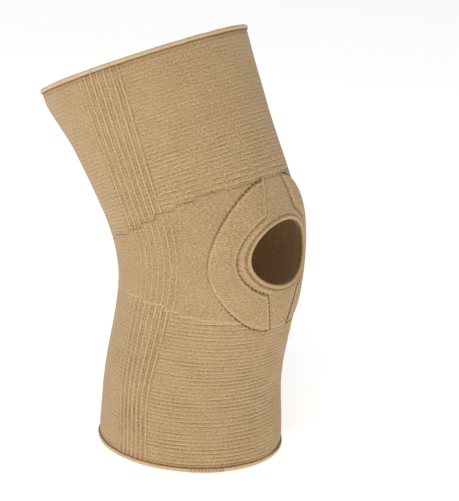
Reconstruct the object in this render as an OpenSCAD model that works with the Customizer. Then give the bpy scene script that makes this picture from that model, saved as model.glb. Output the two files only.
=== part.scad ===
// Knee support: an elastic knitted sleeve with a kneecap opening and two sewn pad pockets.
// Millimetres. Z points up along the calf, the kneecap faces -Y, and the wearer's right is -X.
// The origin is the centre of the lower opening, on the plane the sleeve stands on.
// Heights are measured along the leg's axis from the knee axis: minus is calf, plus is thigh.

/* [Overall size] */
// Diameter of the lower opening, round the calf
calf_opening_d = 125; // [107:2:143]
// Diameter of the upper opening, round the thigh
thigh_opening_d = 144; // [126:2:166]
// Length from the lower opening up to the knee axis
calf_length = 143; // [128:1:172]
// Length from the knee axis up to the upper opening
thigh_length = 130; // [114:1:154]
// Bend of the knee, from straight, that the sleeve is knitted to
flexion = 27; // [20:1:34]
// Thickness of the knitted wall
fabric_t = 2; // [1.6:0.1:2.6]

/* [Knee form] */
// Width of the sleeve across the knee
knee_width = 124; // [108:2:144]
// Depth from the leg's axis forward to the kneecap
knee_front = 77.5; // [70:0.5:88]
// Depth from the leg's axis back to the hollow of the knee
knee_back = 48; // [42:1:56]
// Length of leg axis over which the knee bends
bend_length = 80; // [70:1:96]

/* [Kneecap opening] */
// Width of the opening, side to side
opening_width = 60; // [48:1:64]
// Height of the opening, measured over the curved fabric
opening_height = 47; // [40:1:52]
// Distance of the opening's middle below the knee axis
opening_drop = 5; // [2:1:8]

/* [Pad pockets] */
// Width of each pocket beside the opening
pocket_width = 14; // [13:0.5:17]
// Height of the pockets' upper corner above the knee axis
pocket_top = 32; // [28:1:34]
// Distance of the pockets' lower corner below the knee axis
pocket_bottom = 44; // [39:1:46]
// Half the width of the bare strip between the two pockets, at their corners
strip_half = 7; // [6:0.5:10]
// How much each side of the strip widens from the corners to the pockets' middle
strip_flare = 14; // [10:1:17]
// Thickness that the pad adds under the pocket cover
pad_t = 2.6; // [2.4:0.1:4]

/* [Welts] */
// Height of the rolled welt at each opening
welt_h = 4; // [3.5:0.5:6]
// How far the welt stands out beyond the fabric
welt_proud = 1.4; // [1:0.1:2]

/* [Part] */
// Sub-part to draw

/* [Hidden] */

calf_r = calf_opening_d / 2;
thigh_r = thigh_opening_d / 2;
knee_half = knee_width / 2;

// The leg axis is straight, then a circular arc through the flexion angle, then straight again.
bend_radius = bend_length / (flexion * PI / 180);
bend_reach = bend_radius * tan(flexion / 2);
bend_start = calf_length - bend_reach;

// Sections are given at nine heights; the outermost pairs keep the ends round for the welts.
round_end = 12;
stations = [
  -calf_length, round_end - calf_length, -calf_length * 0.64, -calf_length * 0.32,
  0,
  thigh_length * 0.33, thigh_length * 0.66, thigh_length - round_end, thigh_length
];

// A value a given share of the way from one to another
function mix(from, to, share) = from + (to - from) * share;

half_widths = [
  calf_r, calf_r, calf_r * 0.97, mix(knee_half, calf_r, 0.5) - 2.5,
  knee_half,
  mix(knee_half, thigh_r, 0.1), mix(knee_half, thigh_r, 0.5), thigh_r, thigh_r
];
front_depths = [
  calf_r, calf_r, calf_r * 0.955, mix(calf_r, knee_front, 0.33),
  knee_front,
  mix(thigh_r, knee_front, 0.5), mix(thigh_r, knee_front, 0.15), thigh_r, thigh_r
];
back_depths = [
  calf_r, calf_r, calf_r * 0.98, mix(knee_back, calf_r, 0.35),
  knee_back,
  mix(knee_back, thigh_r, 0.2), mix(knee_back, thigh_r, 0.55), thigh_r, thigh_r
];

// Distances from the knee axis, behind and in front, of the edges where the moving parts meet
gusset_up_back = 62;
gusset_up_front = 58;
gusset_down_back = 62;
gusset_down_front = 68;
part_gap = 0.4;

cover_t = 1.2;
cover_gap = 0.6;
seam_margin = 3;
seam_inset = 1.5;
pad_edge = 5;
pad_slope = 6;
pad_gap = 1;
pad_seat = 0.1;
thread_r = 0.4;
thread_gap = 0.35;
binding_reach = 3.2;
binding_t = 1;
binding_slot = 0.55;
stitch_border = 5.5;

columns = 72;
column_angle = 360 / columns;
sleeve_rows = 8;

// Over the kneecap the fabric is longer than the leg's axis by this factor
front_stretch = 1 + knee_front / bend_radius * (bend_length / (2 * bend_reach));
opening_half_h = opening_height / 2 / front_stretch;
opening_half_w = opening_width / 2;

// ---- The sleeve's outer surface ----

// Index of the pair of stations a height lies between
function span_of(height) =
  max([for (i = [0 : len(stations) - 2]) if (i == 0 || height >= stations[i]) i]);

// Slope of a list of values at one station, from the stations either side
function slope_at(values, i) =
  let (low = max(i - 1, 0), high = min(i + 1, len(stations) - 1))
  (values[high] - values[low]) / (stations[high] - stations[low]);

// Smooth value between stations, a cubic that keeps the slope at every station
function smooth_value(values, height) =
  let (
    i = span_of(height),
    run = stations[i + 1] - stations[i],
    share = (height - stations[i]) / run,
    from_start = (1 + 2 * share) * pow(1 - share, 2),
    from_end = (3 - 2 * share) * pow(share, 2),
    start_slope = share * pow(1 - share, 2) * run * slope_at(values, i),
    end_slope = (share - 1) * pow(share, 2) * run * slope_at(values, i + 1)
  )
  from_start * values[i] + from_end * values[i + 1] + start_slope + end_slope;

// Tilt of the leg axis at a height: none in the calf, the whole flexion in the thigh
function tilt_at(height) = flexion * max(0, min(1, (height / bend_reach + 1) / 2));

// Point of the leg axis at a height
function axis_point(height) =
  let (tilt = tilt_at(height), below = min(height + bend_reach, 0), above = max(height - bend_reach, 0))
  [
    0,
    bend_radius * (1 - cos(tilt)) + above * sin(tilt),
    bend_start + below + bend_radius * sin(tilt) + above * cos(tilt)
  ];

// Point of the outer surface: around is 0 at the front and 90 on the wearer's right
function skin_point(around, height) =
  let (
    tilt = tilt_at(height),
    depth = smooth_value(cos(around) > 0 ? front_depths : back_depths, height) * cos(around),
    side = smooth_value(half_widths, height) * sin(around)
  )
  axis_point(height) + [-side, -depth * cos(tilt), depth * sin(tilt)];

function unit(v) = v / norm(v);

// Outward direction of the surface, from two short steps along it
function skin_normal(around, height) =
  let (
    step = 0.5,
    along_ring = skin_point(around + step, height) - skin_point(around - step, height),
    up_leg = skin_point(around, height + step) - skin_point(around, height - step)
  )
  unit(cross(up_leg, along_ring));

// Point a given distance outside the surface
function off_skin(around, height, out) =
  skin_point(around, height) + out * skin_normal(around, height);

// Direction round the leg, in degrees, of a point a given distance to the side
function around_of(side, height) = asin(side / smooth_value(half_widths, height));

// Side distance and height of the opening's edge at an angle, widened by a border
function opening_edge(angle, border) = [
  (opening_half_w + border) * cos(angle),
  (opening_half_h + border / front_stretch) * sin(angle) - opening_drop
];

// ---- Solids made from grids of points ----

function flat(lists) = [for (list = lists) each list];

// Two triangles over the grid cell a, b, c, d
function cell(a, b, c, d) = [[a, b, c], [a, c, d]];

// Closed wall from two equal grids of points; each grid is a list of closed rings
module ring_wall(outer, inner) {
  rows = len(outer);
  count = len(outer[0]);
  inner_start = rows * count;
  function at(row, col) = row * count + col % count;
  skins = [
    for (row = [0 : rows - 2], col = [0 : count - 1]) each concat(
      cell(at(row, col), at(row, col + 1), at(row + 1, col + 1), at(row + 1, col)),
      cell(
        inner_start + at(row, col), inner_start + at(row + 1, col),
        inner_start + at(row + 1, col + 1), inner_start + at(row, col + 1)
      )
    )
  ];
  rims = [
    for (col = [0 : count - 1]) each concat(
      cell(at(0, col + 1), at(0, col), inner_start + at(0, col), inner_start + at(0, col + 1)),
      cell(
        at(rows - 1, col), at(rows - 1, col + 1),
        inner_start + at(rows - 1, col + 1), inner_start + at(rows - 1, col)
      )
    )
  ];
  polyhedron(points = concat(flat(outer), flat(inner)), faces = concat(skins, rims), convexity = 8);
}

// Closed slab from two equal open grids of points, with its four edges closed
module slab(outer, inner) {
  rows = len(outer);
  cols = len(outer[0]);
  inner_start = rows * cols;
  function at(row, col) = row * cols + col;
  skins = [
    for (row = [0 : rows - 2], col = [0 : cols - 2]) each concat(
      cell(at(row, col), at(row, col + 1), at(row + 1, col + 1), at(row + 1, col)),
      cell(
        inner_start + at(row, col), inner_start + at(row + 1, col),
        inner_start + at(row + 1, col + 1), inner_start + at(row, col + 1)
      )
    )
  ];
  border = concat(
    [for (col = [0 : cols - 1]) at(0, col)],
    [for (row = [1 : rows - 1]) at(row, cols - 1)],
    [for (col = [cols - 2 : -1 : 0]) at(rows - 1, col)],
    [for (row = [rows - 2 : -1 : 1]) at(row, 0)]
  );
  edges = [
    for (i = [0 : len(border) - 1]) let (a = border[i], b = border[(i + 1) % len(border)])
    each cell(b, a, inner_start + a, inner_start + b)
  ];
  polyhedron(points = concat(flat(outer), flat(inner)), faces = concat(skins, edges), convexity = 8);
}

// Rod from a list of closed sections, one after another; looped joins the last to the first
module rod(sections, looped) {
  count = len(sections[0]);
  last = len(sections) - 1;
  function at(row, col) = (row % (last + 1)) * count + col % count;
  sides = [
    for (row = [0 : looped ? last : last - 1], col = [0 : count - 1]) each
    cell(at(row, col), at(row, col + 1), at(row + 1, col + 1), at(row + 1, col))
  ];
  caps = looped ? [] : [
    [for (col = [count - 1 : -1 : 0]) at(0, col)],
    [for (col = [0 : count - 1]) at(last, col)]
  ];
  polyhedron(points = flat(sections), faces = concat(sides, caps), convexity = 8);
}

// ---- Knitted sleeve ----

// Height of a tilted edge that runs from one height at the back to another at the front
function tilted_edge(back, front, around) = mix(back, front, (1 + cos(around)) / 2);

function gusset_top(around) = tilted_edge(gusset_up_back, gusset_up_front, around);
function gusset_foot(around) = -tilted_edge(gusset_down_back, gusset_down_front, around);

// Grid of points between two edges of the sleeve, a given distance out from its surface
function sleeve_grid(low, high, out) = [
  for (row = [0 : sleeve_rows]) [
    for (col = [0 : columns - 1])
    let (around = col * column_angle)
    off_skin(around, mix(low(around), high(around), row / sleeve_rows), out)
  ]
];

module sleeve_part(low, high) {
  ring_wall(sleeve_grid(low, high, 0), sleeve_grid(low, high, -fabric_t));
}

module thigh_sleeve() {
  low = function (around) gusset_top(around) + part_gap;
  high = function (around) thigh_length - welt_h - part_gap / 2;
  color("tan") sleeve_part(low, high);
}

module calf_sleeve() {
  low = function (around) welt_h + part_gap / 2 - calf_length;
  high = function (around) gusset_foot(around) - part_gap;
  color("tan") sleeve_part(low, high);
}

// The knee part is a grid with a block of cells at the front left out. Rings of cells run
// from the block's border in to the edge of the opening.
gusset_rows = 16;
ring_count = 4;
block_margin = 3;

function gusset_height(row, col) =
  let (around = col * column_angle)
  mix(gusset_foot(around), gusset_top(around), row / gusset_rows);

// Grid row at or beyond a height on the front line
function gusset_row(height) =
  (height - gusset_foot(0)) / (gusset_top(0) - gusset_foot(0)) * gusset_rows;

block_half = ceil(asin(min(1, (opening_half_w + block_margin) / knee_half)) / column_angle);
block_low = floor(gusset_row(-opening_drop - opening_half_h - block_margin));
block_high = ceil(gusset_row(-opening_drop + opening_half_h + block_margin));

// Border of the block as rows and columns, once round
block_border = concat(
  [for (col = [-block_half : block_half - 1]) [block_low, col]],
  [for (row = [block_low : block_high - 1]) [row, block_half]],
  [for (col = [block_half : -1 : 1 - block_half]) [block_high, col]],
  [for (row = [block_high : -1 : block_low + 1]) [row, -block_half]]
);

// Side distance and height of a border point
function border_spot(row, col) =
  let (height = gusset_height(row, col))
  [smooth_value(half_widths, height) * sin(col * column_angle), height];

// Angle round the opening that a border point faces
function facing_angle(spot) =
  atan2((spot[1] + opening_drop) / opening_half_h, spot[0] / opening_half_w);

// The binding and its thread are drawn at the same angles, so their facets lie along the fabric's
edge_angles = [for (border = block_border) facing_angle(border_spot(border[0], border[1]))];

function gusset_points(out) = concat(
  [
    for (row = [0 : gusset_rows], col = [0 : columns - 1])
    off_skin(col * column_angle, gusset_height(row, col), out)
  ],
  [
    for (ring = [1 : ring_count], border = block_border)
    let (
      outside = border_spot(border[0], border[1]),
      spot = mix(outside, opening_edge(facing_angle(outside), 0), ring / ring_count)
    )
    off_skin(around_of(spot[0], spot[1]), spot[1], out)
  ]
);

module knee_gusset() {
  outer = gusset_points(0);
  inner = gusset_points(-fabric_t);
  inner_start = len(outer);
  border_count = len(block_border);
  function at(row, col) = row * columns + (col + columns) % columns;
  function on_ring(ring, i) =
    let (border = block_border[i % border_count])
    ring == 0
      ? at(border[0], border[1])
      : (gusset_rows + 1) * columns + (ring - 1) * border_count + i % border_count;
  function in_block(row, col) =
    row >= block_low && row < block_high && (col < block_half || col >= columns - block_half);
  cells = concat(
    [
      for (row = [0 : gusset_rows - 1], col = [0 : columns - 1]) if (!in_block(row, col))
      [at(row, col), at(row, col + 1), at(row + 1, col + 1), at(row + 1, col)]
    ],
    [
      for (ring = [0 : ring_count - 1], i = [0 : border_count - 1])
      [on_ring(ring, i), on_ring(ring, i + 1), on_ring(ring + 1, i + 1), on_ring(ring + 1, i)]
    ]
  );
  edges = concat(
    [for (col = [0 : columns - 1]) [at(0, col + 1), at(0, col)]],
    [for (col = [0 : columns - 1]) [at(gusset_rows, col), at(gusset_rows, col + 1)]],
    [for (i = [0 : border_count - 1]) [on_ring(ring_count, i), on_ring(ring_count, i + 1)]]
  );
  faces = concat(
    [for (c = cells) each cell(c[0], c[1], c[2], c[3])],
    [for (c = cells) each cell(inner_start + c[0], inner_start + c[3], inner_start + c[2], inner_start + c[1])],
    [for (e = edges) each cell(e[0], e[1], inner_start + e[1], inner_start + e[0])]
  );
  color("burlywood") polyhedron(points = concat(outer, inner), faces = faces, convexity = 8);
}

// ---- Kneecap opening ----

// Point by the opening's edge: border is measured along the fabric, out is away from it
function by_opening(angle, border, out) =
  let (edge = opening_edge(angle, border))
  off_skin(around_of(edge[0], edge[1]), edge[1], out);

// Folded binding: a channel whose open side takes the fabric's edge
module opening_binding() {
  slot = binding_slot;
  lip = 1.6;
  inside = -fabric_t;
  channel = [
    [binding_reach, slot], [binding_reach, slot + binding_t], [0.4, slot + binding_t + 0.2],
    [-1.2, 0.5], [-lip, inside / 2], [-1.2, inside - 0.5],
    [0.4, inside - slot - binding_t - 0.2], [binding_reach, inside - slot - binding_t],
    [binding_reach, inside - slot], [-slot, inside - slot], [-slot, slot]
  ];
  last = len(edge_angles) - 1;
  sections = [
    for (i = [last : -1 : 0]) [for (p = channel) by_opening(edge_angles[i], p[0], p[1])]
  ];
  color("wheat") rod(sections, true);
}

thread_sides = 6;

// Thread section at a point: across and out are the two directions of its round section
function thread_section(centre, across, out) = [
  for (k = [0 : thread_sides - 1])
  let (turn = k * 360 / thread_sides)
  centre + thread_r * (cos(turn) * across + sin(turn) * out)
];

// Thread laid along a list of surface positions, each a direction round the leg and a height
module thread_on_skin(path, rise, looped) {
  last = len(path) - 1;
  centres = [for (p = path) off_skin(p[0], p[1], rise)];
  sections = [
    for (i = [0 : last])
    let (
      before = centres[looped ? (i + last) % (last + 1) : max(i - 1, 0)],
      after = centres[looped ? (i + 1) % (last + 1) : min(i + 1, last)],
      out = skin_normal(path[i][0], path[i][1])
    )
    thread_section(centres[i], unit(cross(after - before, out)), out)
  ];
  rod(sections, looped);
}

module opening_binding_seam() {
  path = [
    for (angle = edge_angles)
    let (edge = opening_edge(angle, binding_reach - seam_inset))
    [around_of(edge[0], edge[1]), edge[1]]
  ];
  rise = binding_slot + binding_t + thread_r + thread_gap;
  color("sienna") thread_on_skin(path, rise, true);
}

// ---- Pad pockets, drawn for the wearer's right and mirrored for the left ----

pocket_mid = (pocket_top - pocket_bottom) / 2;
pocket_half_h = (pocket_top + pocket_bottom) / 2;
pocket_reach = opening_half_w + stitch_border + pocket_width;
tip_width = 5;

// Covers and pads have rows at the same heights, so that their facets run alike
row_sweep = 5.6;
cover_rows = 30;
pad_rows = 24;
pocket_tip = row_sweep * cover_rows / 2;

// Height of a pocket row; sweep runs from -90 at the lower corner to 90 at the upper one
function pocket_height(sweep) = pocket_mid + pocket_half_h * sin(sweep);

// Half width of the bare strip, which widens from the pockets' corners towards their middle
function strip_edge(height) =
  strip_half + strip_flare * max(0, 1 - abs(height - pocket_mid) / pocket_half_h);

// Inner edge: the bare strip's edge, or the stitched border round the opening
function pocket_inner(height) =
  let (
    border_w = opening_half_w + stitch_border,
    border_h = opening_half_h + stitch_border / front_stretch,
    share = (height + opening_drop) / border_h
  )
  max(strip_edge(height), abs(share) < 1 ? border_w * sqrt(1 - share * share) : 0);

// Outer edge: half an ellipse from one corner to the other
function pocket_outer(height) =
  let (share = (height - pocket_mid) / pocket_half_h)
  max(
    pocket_inner(height) + tip_width,
    strip_half + (pocket_reach - strip_half) * sqrt(max(0, 1 - share * share))
  );

// Rise of the cover over the pad, growing from nothing at the seams
function pocket_rise(side, height) =
  let (inside = min(side - pocket_inner(height), pocket_outer(height) - side) - seam_margin)
  pad_t * sin(90 * max(0, min(1, inside / pad_slope)));

// Side distances and heights over a pocket, its edges moved in by a margin
function pocket_spots(margin, rows, cols) = [
  for (row = [0 : rows])
  let (height = pocket_height((row - rows / 2) * row_sweep))
  [
    for (col = [0 : cols])
    [mix(pocket_inner(height) + margin, pocket_outer(height) - margin, col / cols), height]
  ]
];

// Points over a pocket a given distance out, with all or none of the rise over the pad
function pocket_grid(spots, out, rise_share) = [
  for (row = spots) [
    for (spot = row)
    off_skin(around_of(spot[0], spot[1]), spot[1], out + rise_share * pocket_rise(spot[0], spot[1]))
  ]
];

module pocket_cover() {
  cols = 12;
  spots = pocket_spots(0, cover_rows, cols);
  color("burlywood") slab(pocket_grid(spots, cover_gap + cover_t, 1), pocket_grid(spots, cover_gap, 1));
}

// The pad's upper side follows the cover and its under side lies flat along the sleeve
module pocket_pad() {
  cols = 9;
  spots = pocket_spots(pad_edge, pad_rows, cols);
  color("white") slab(pocket_grid(spots, cover_gap - pad_gap, 1), pocket_grid(spots, cover_gap + pad_seat, 0));
}

// Thread along one edge of a pocket, a seam's inset inside it
module pocket_seam(edge_of, inset) {
  steps = 44;
  path = [
    for (i = [0 : steps])
    let (height = pocket_height(mix(-pocket_tip, pocket_tip, i / steps)))
    [around_of(edge_of(height) + inset, height), height]
  ];
  rise = cover_gap + cover_t + thread_r + thread_gap;
  color("sienna") thread_on_skin(path, rise, false);
}

module outer_seam() {
  pocket_seam(function (height) pocket_outer(height), -seam_inset / 2);
}

module inner_seam() {
  pocket_seam(function (height) pocket_inner(height), seam_inset / 2);
}

module left_side() {
  mirror([1, 0, 0]) children();
}

// ---- Welts ----

welt_inner = fabric_t + 0.6;
welt_wall = 0.9;
welt_corner = 1.6;
core_gap = 0.15;
core_inset = welt_wall + core_gap;
hem_stitch = welt_h + 1.5;
ring_facets = 96;

// Section of a welt, worked counter-clockwise: flat against the leg, rounded outside
function welt_section(inner, low, outer, high, corner) = concat(
  [[inner, high], [inner, low]],
  [for (turn = [-90 : 22.5 : 0]) [outer - corner, low + corner] + corner * [cos(turn), sin(turn)]],
  [for (turn = [0 : 22.5 : 90]) [outer - corner, high - corner] + corner * [cos(turn), sin(turn)]]
);

module welt_ring(opening_r) {
  inner = opening_r - welt_inner;
  outer = opening_r + welt_proud;
  color("wheat") rotate_extrude($fn = ring_facets) difference() {
    polygon(welt_section(inner, 0, outer, welt_h, welt_corner));
    polygon(
      welt_section(
        inner + welt_wall, welt_wall, outer - welt_wall, welt_h - welt_wall, welt_corner - welt_wall
      )
    );
  }
}

module elastic_ring(opening_r) {
  inner = opening_r - welt_inner + core_inset;
  outer = opening_r + welt_proud - core_inset;
  color("gray") rotate_extrude($fn = ring_facets)
    polygon(welt_section(inner, core_inset, outer, welt_h - core_inset, welt_corner - core_inset));
}

// Thread round the sleeve just beyond the welt
module seam_ring(opening_r) {
  color("sienna") rotate_extrude($fn = ring_facets)
    translate([opening_r + thread_r + thread_gap, hem_stitch]) circle(r = thread_r, $fn = 16);
}

// Places a ring drawn on the floor at the upper opening, turned over so its welt is outermost
module at_thigh_opening() {
  translate(axis_point(thigh_length)) rotate([180 - flexion, 0, 0]) children();
}

module calf_welt() {
  welt_ring(calf_r);
}

module calf_welt_elastic() {
  elastic_ring(calf_r);
}

module calf_welt_seam() {
  seam_ring(calf_r);
}

module thigh_welt() {
  at_thigh_opening() welt_ring(thigh_r);
}

module thigh_welt_elastic() {
  at_thigh_opening() elastic_ring(thigh_r);
}

module thigh_welt_seam() {
  at_thigh_opening() seam_ring(thigh_r);
}

// Oversewn join of the lower welt: short stitches standing on the welt's outer face
module calf_welt_join() {
  stitches = 10;
  pitch = 2.2;
  width = 1;
  middle = 41;
  face = calf_r + welt_proud + 0.1;
  rise = 0.6;
  foot = 0.9;
  bevel = 0.4;
  section = [
    [face, foot], [face + rise, foot + bevel],
    [face + rise, welt_h - foot - bevel], [face, welt_h - foot]
  ];
  color("sienna") for (i = [0 : stitches - 1])
    rotate([0, 0, -90 - middle + (i - (stitches - 1) / 2) * pitch])
      rotate_extrude(angle = width, $fn = ring_facets) polygon(section);
}

// ---- Assembly ----

thigh_sleeve();
knee_gusset();
calf_sleeve();
thigh_welt();
thigh_welt_elastic();
thigh_welt_seam();
calf_welt();
calf_welt_elastic();
calf_welt_seam();
calf_welt_join();
opening_binding();
opening_binding_seam();
pocket_cover();  // right_pocket_cover
pocket_pad();  // right_pad
outer_seam();  // right_outer_seam
inner_seam();  // right_inner_seam
left_side() pocket_cover();  // left_pocket_cover
left_side() pocket_pad();  // left_pad
left_side() outer_seam();  // left_outer_seam
left_side() inner_seam();  // left_inner_seam
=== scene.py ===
"""Knee support: a knitted elastic sleeve with a kneecap opening and two sewn pad pockets.

Everything is in metres. Z points up along the calf, the kneecap faces -Y, and the wearer's right is -X.
A place on the fabric has two numbers. Its reach is the distance along the fabric from the front line,
positive to the wearer's right. Its height is measured along the leg's axis from the knee axis, minus in
the calf and plus in the thigh.
"""

import math

import bpy
import numpy as np
from mathutils import Matrix, Vector


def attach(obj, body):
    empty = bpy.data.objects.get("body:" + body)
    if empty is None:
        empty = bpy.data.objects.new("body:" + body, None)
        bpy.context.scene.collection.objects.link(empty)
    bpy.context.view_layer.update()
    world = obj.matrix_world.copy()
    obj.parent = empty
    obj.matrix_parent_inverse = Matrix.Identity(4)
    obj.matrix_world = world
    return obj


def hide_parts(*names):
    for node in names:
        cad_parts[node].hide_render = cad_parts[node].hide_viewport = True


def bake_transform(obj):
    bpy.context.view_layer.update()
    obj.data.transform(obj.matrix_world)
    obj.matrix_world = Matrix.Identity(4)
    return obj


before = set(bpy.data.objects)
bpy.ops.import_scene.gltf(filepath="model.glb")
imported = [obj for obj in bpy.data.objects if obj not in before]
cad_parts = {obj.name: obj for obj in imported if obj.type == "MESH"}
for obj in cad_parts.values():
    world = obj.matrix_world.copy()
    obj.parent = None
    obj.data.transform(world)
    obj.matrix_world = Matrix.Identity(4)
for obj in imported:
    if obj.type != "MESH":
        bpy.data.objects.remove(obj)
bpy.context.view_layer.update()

MM = 0.001

# ---- Sizes of the sleeve, as the frame has them ----

CALF_LENGTH = 143 * MM
THIGH_LENGTH = 130 * MM
CALF_R = 62.5 * MM
THIGH_R = 72 * MM
KNEE_HALF = 62 * MM
KNEE_FRONT = 77.5 * MM
KNEE_BACK = 48 * MM
BEND_LENGTH = 80 * MM
FLEXION = math.radians(27)
FABRIC = 2 * MM
ROUND_END = 12 * MM

OPENING_HALF_W = 30 * MM
OPENING_OVER_FABRIC = 23.5 * MM
OPENING_DROP = 5 * MM

POCKET_REACH = 49.5 * MM
POCKET_TOP = 32 * MM
POCKET_BOTTOM = 44 * MM
POCKET_TIP = math.radians(84)
STRIP_HALF = 7 * MM
STRIP_FLARE = 14 * MM
STITCH_BORDER = 5.5 * MM
TIP_WIDTH = 5 * MM
COVER_T = 0.9 * MM
PAD_RISE = 2.4 * MM
PAD_EDGE = 5 * MM

WELT_H = 4 * MM
WELT_IN = 2.6 * MM
WELT_OUT = 1.4 * MM

BEND_RADIUS = BEND_LENGTH / FLEXION
BEND_REACH = BEND_RADIUS * math.tan(FLEXION / 2)
BEND_START = CALF_LENGTH - BEND_REACH
FRONT_STRETCH = 1 + KNEE_FRONT / BEND_RADIUS * (BEND_LENGTH / (2 * BEND_REACH))
OPENING_HALF_H = OPENING_OVER_FABRIC / FRONT_STRETCH

# ---- Layout of the knitting ----

COURSE = 2.7 * MM
FINE_COURSE = 1.35 * MM
WALE = 1.25 * MM
ROW = COURSE / 6
RIB_PITCH = 4.5 * MM
RIB_LOW = 81.25 * MM
RIBS = 7
RIB_HIGH = RIB_LOW + RIBS * RIB_PITCH
RIB_JOG = 3.3 * MM
RIB_TAPER = 5 * MM
BAND_LOW = RIB_LOW - RIB_PITCH
HEM_STITCH = WELT_H + 1.5 * MM
SEAM_PITCH = 3.4 * MM
SEAM_GAP = 0.3
SEAM_RADIUS = 0.36 * MM
HEM_PITCH = 3.1 * MM
HEM_GAP = 0.25
HEM_RADIUS = 0.3 * MM
RIM_BORDER = 1.9 * MM
RIM_PITCH = 2.2 * MM
RIM_GAP = 0.35
RIM_RADIUS = 0.24 * MM

# The sleeve turns at the knee along two stepped lines. Each gives heights at distances from the front.
UPPER_LINE = (
    np.array([0, 37, 38, 58, 59, 72, 73, 88, 89, 101, 102, 112, 113, 130, 131, 150, 151, 250]) * MM,
    np.array([
        31, 31, 31.5, 31.5, 30.2, 30.2, 27.9, 27.9, 24.6, 24.6, 21.6, 21.6, 19, 19, 16, 16, 13, 13,
    ]) * MM,
)
LOWER_LINE = (
    np.array([0, 20, 21, 62, 63, 74, 75, 86, 87, 103, 104, 125, 126, 250]) * MM,
    np.array([42, 42, 37, 35, 34, 34, 31.5, 31.5, 28.5, 28.5, 26, 26, 24, 24]) * -MM,
)


def between(start, end, share):
    """The value that share of the way from start to end."""
    return start + (end - start) * share


def soft_step(x):
    """0 below 0, 1 above 1, and a cubic between that is level at both."""
    x = np.clip(x, 0, 1)
    return x * x * (3 - 2 * x)


def bell(x):
    """1 at 0, falling off evenly on both sides: e to the minus x squared."""
    return np.exp(-x * x)


def unit(vectors):
    """The same directions with length 1."""
    return vectors / np.linalg.norm(vectors, axis=-1, keepdims=True)


# ---- The form of the sleeve ----

STATIONS = np.array([
    -CALF_LENGTH, ROUND_END - CALF_LENGTH, -0.64 * CALF_LENGTH, -0.32 * CALF_LENGTH,
    0,
    0.33 * THIGH_LENGTH, 0.66 * THIGH_LENGTH, THIGH_LENGTH - ROUND_END, THIGH_LENGTH,
])
HALF_WIDTHS = np.array([
    CALF_R, CALF_R, 0.97 * CALF_R, between(KNEE_HALF, CALF_R, 0.5) - 2.5 * MM,
    KNEE_HALF,
    between(KNEE_HALF, THIGH_R, 0.1), between(KNEE_HALF, THIGH_R, 0.5), THIGH_R, THIGH_R,
])
FRONT_DEPTHS = np.array([
    CALF_R, CALF_R, 0.955 * CALF_R, between(CALF_R, KNEE_FRONT, 0.33),
    KNEE_FRONT,
    between(THIGH_R, KNEE_FRONT, 0.5), between(THIGH_R, KNEE_FRONT, 0.15), THIGH_R, THIGH_R,
])
BACK_DEPTHS = np.array([
    CALF_R, CALF_R, 0.98 * CALF_R, between(KNEE_BACK, CALF_R, 0.35),
    KNEE_BACK,
    between(KNEE_BACK, THIGH_R, 0.2), between(KNEE_BACK, THIGH_R, 0.55), THIGH_R, THIGH_R,
])


def smooth_value(values, height):
    """Values given at the stations, joined by cubics that keep the slope at every station."""
    last = len(STATIONS) - 1
    below = np.maximum(np.arange(last + 1) - 1, 0)
    above = np.minimum(np.arange(last + 1) + 1, last)
    slopes = (values[above] - values[below]) / (STATIONS[above] - STATIONS[below])
    i = np.clip(np.searchsorted(STATIONS, height, side="right") - 1, 0, last - 1)
    run = STATIONS[i + 1] - STATIONS[i]
    share = (height - STATIONS[i]) / run
    from_start = (1 + 2 * share) * (1 - share) ** 2 * values[i]
    from_end = (3 - 2 * share) * share**2 * values[i + 1]
    start_slope = share * (1 - share) ** 2 * run * slopes[i]
    end_slope = (share - 1) * share**2 * run * slopes[i + 1]
    return from_start + from_end + start_slope + end_slope


def axis_point(height):
    """The leg's axis: straight, then an arc through the flexion, then straight again."""
    height = np.asarray(height, float)
    tilt = FLEXION * np.clip((height / BEND_REACH + 1) / 2, 0, 1)
    below = np.minimum(height + BEND_REACH, 0)
    above = np.maximum(height - BEND_REACH, 0)
    back = BEND_RADIUS * (1 - np.cos(tilt)) + above * np.sin(tilt)
    up = BEND_START + below + BEND_RADIUS * np.sin(tilt) + above * np.cos(tilt)
    return np.stack([np.zeros_like(back), back, up], axis=-1), tilt


def skin(around, height):
    """Point of the outer surface: an oval round the axis and square to it, deeper in front."""
    around, height = np.broadcast_arrays(np.asarray(around, float), np.asarray(height, float))
    axis, tilt = axis_point(height)
    forward = np.cos(around)
    depth = np.where(forward > 0, smooth_value(FRONT_DEPTHS, height), smooth_value(BACK_DEPTHS, height))
    side = smooth_value(HALF_WIDTHS, height) * np.sin(around)
    oval = np.stack([-side, -depth * forward * np.cos(tilt), depth * forward * np.sin(tilt)], axis=-1)
    return axis + oval


def outward(around, height):
    """Direction out of the surface: the cross product of two short steps along it."""
    turn, rise = 0.008, 0.5 * MM
    along_ring = skin(around + turn, height) - skin(around - turn, height)
    up_leg = skin(around, height + rise) - skin(around, height - rise)
    return unit(np.cross(up_leg, along_ring))


def off_skin(around, height, out):
    """Point the given distance outside the outer surface."""
    around, height, out = np.broadcast_arrays(around, height, out)
    return skin(around, height) + out[..., None] * outward(around, height)


def around_of_side(side, height):
    """Direction round the leg of a point that distance to the side, in front."""
    return np.arcsin(np.clip(side / smooth_value(HALF_WIDTHS, height), -1, 1))


def half_rings(heights):
    """Directions from the front to the back, and the length walked along the ring up to each."""
    turns = np.linspace(0, np.pi, 241)
    points = skin(turns[None, :], heights[:, None])
    steps = np.linalg.norm(np.diff(points, axis=1), axis=2)
    walked = np.concatenate([np.zeros((len(heights), 1)), np.cumsum(steps, axis=1)], axis=1)
    return turns, walked


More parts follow.
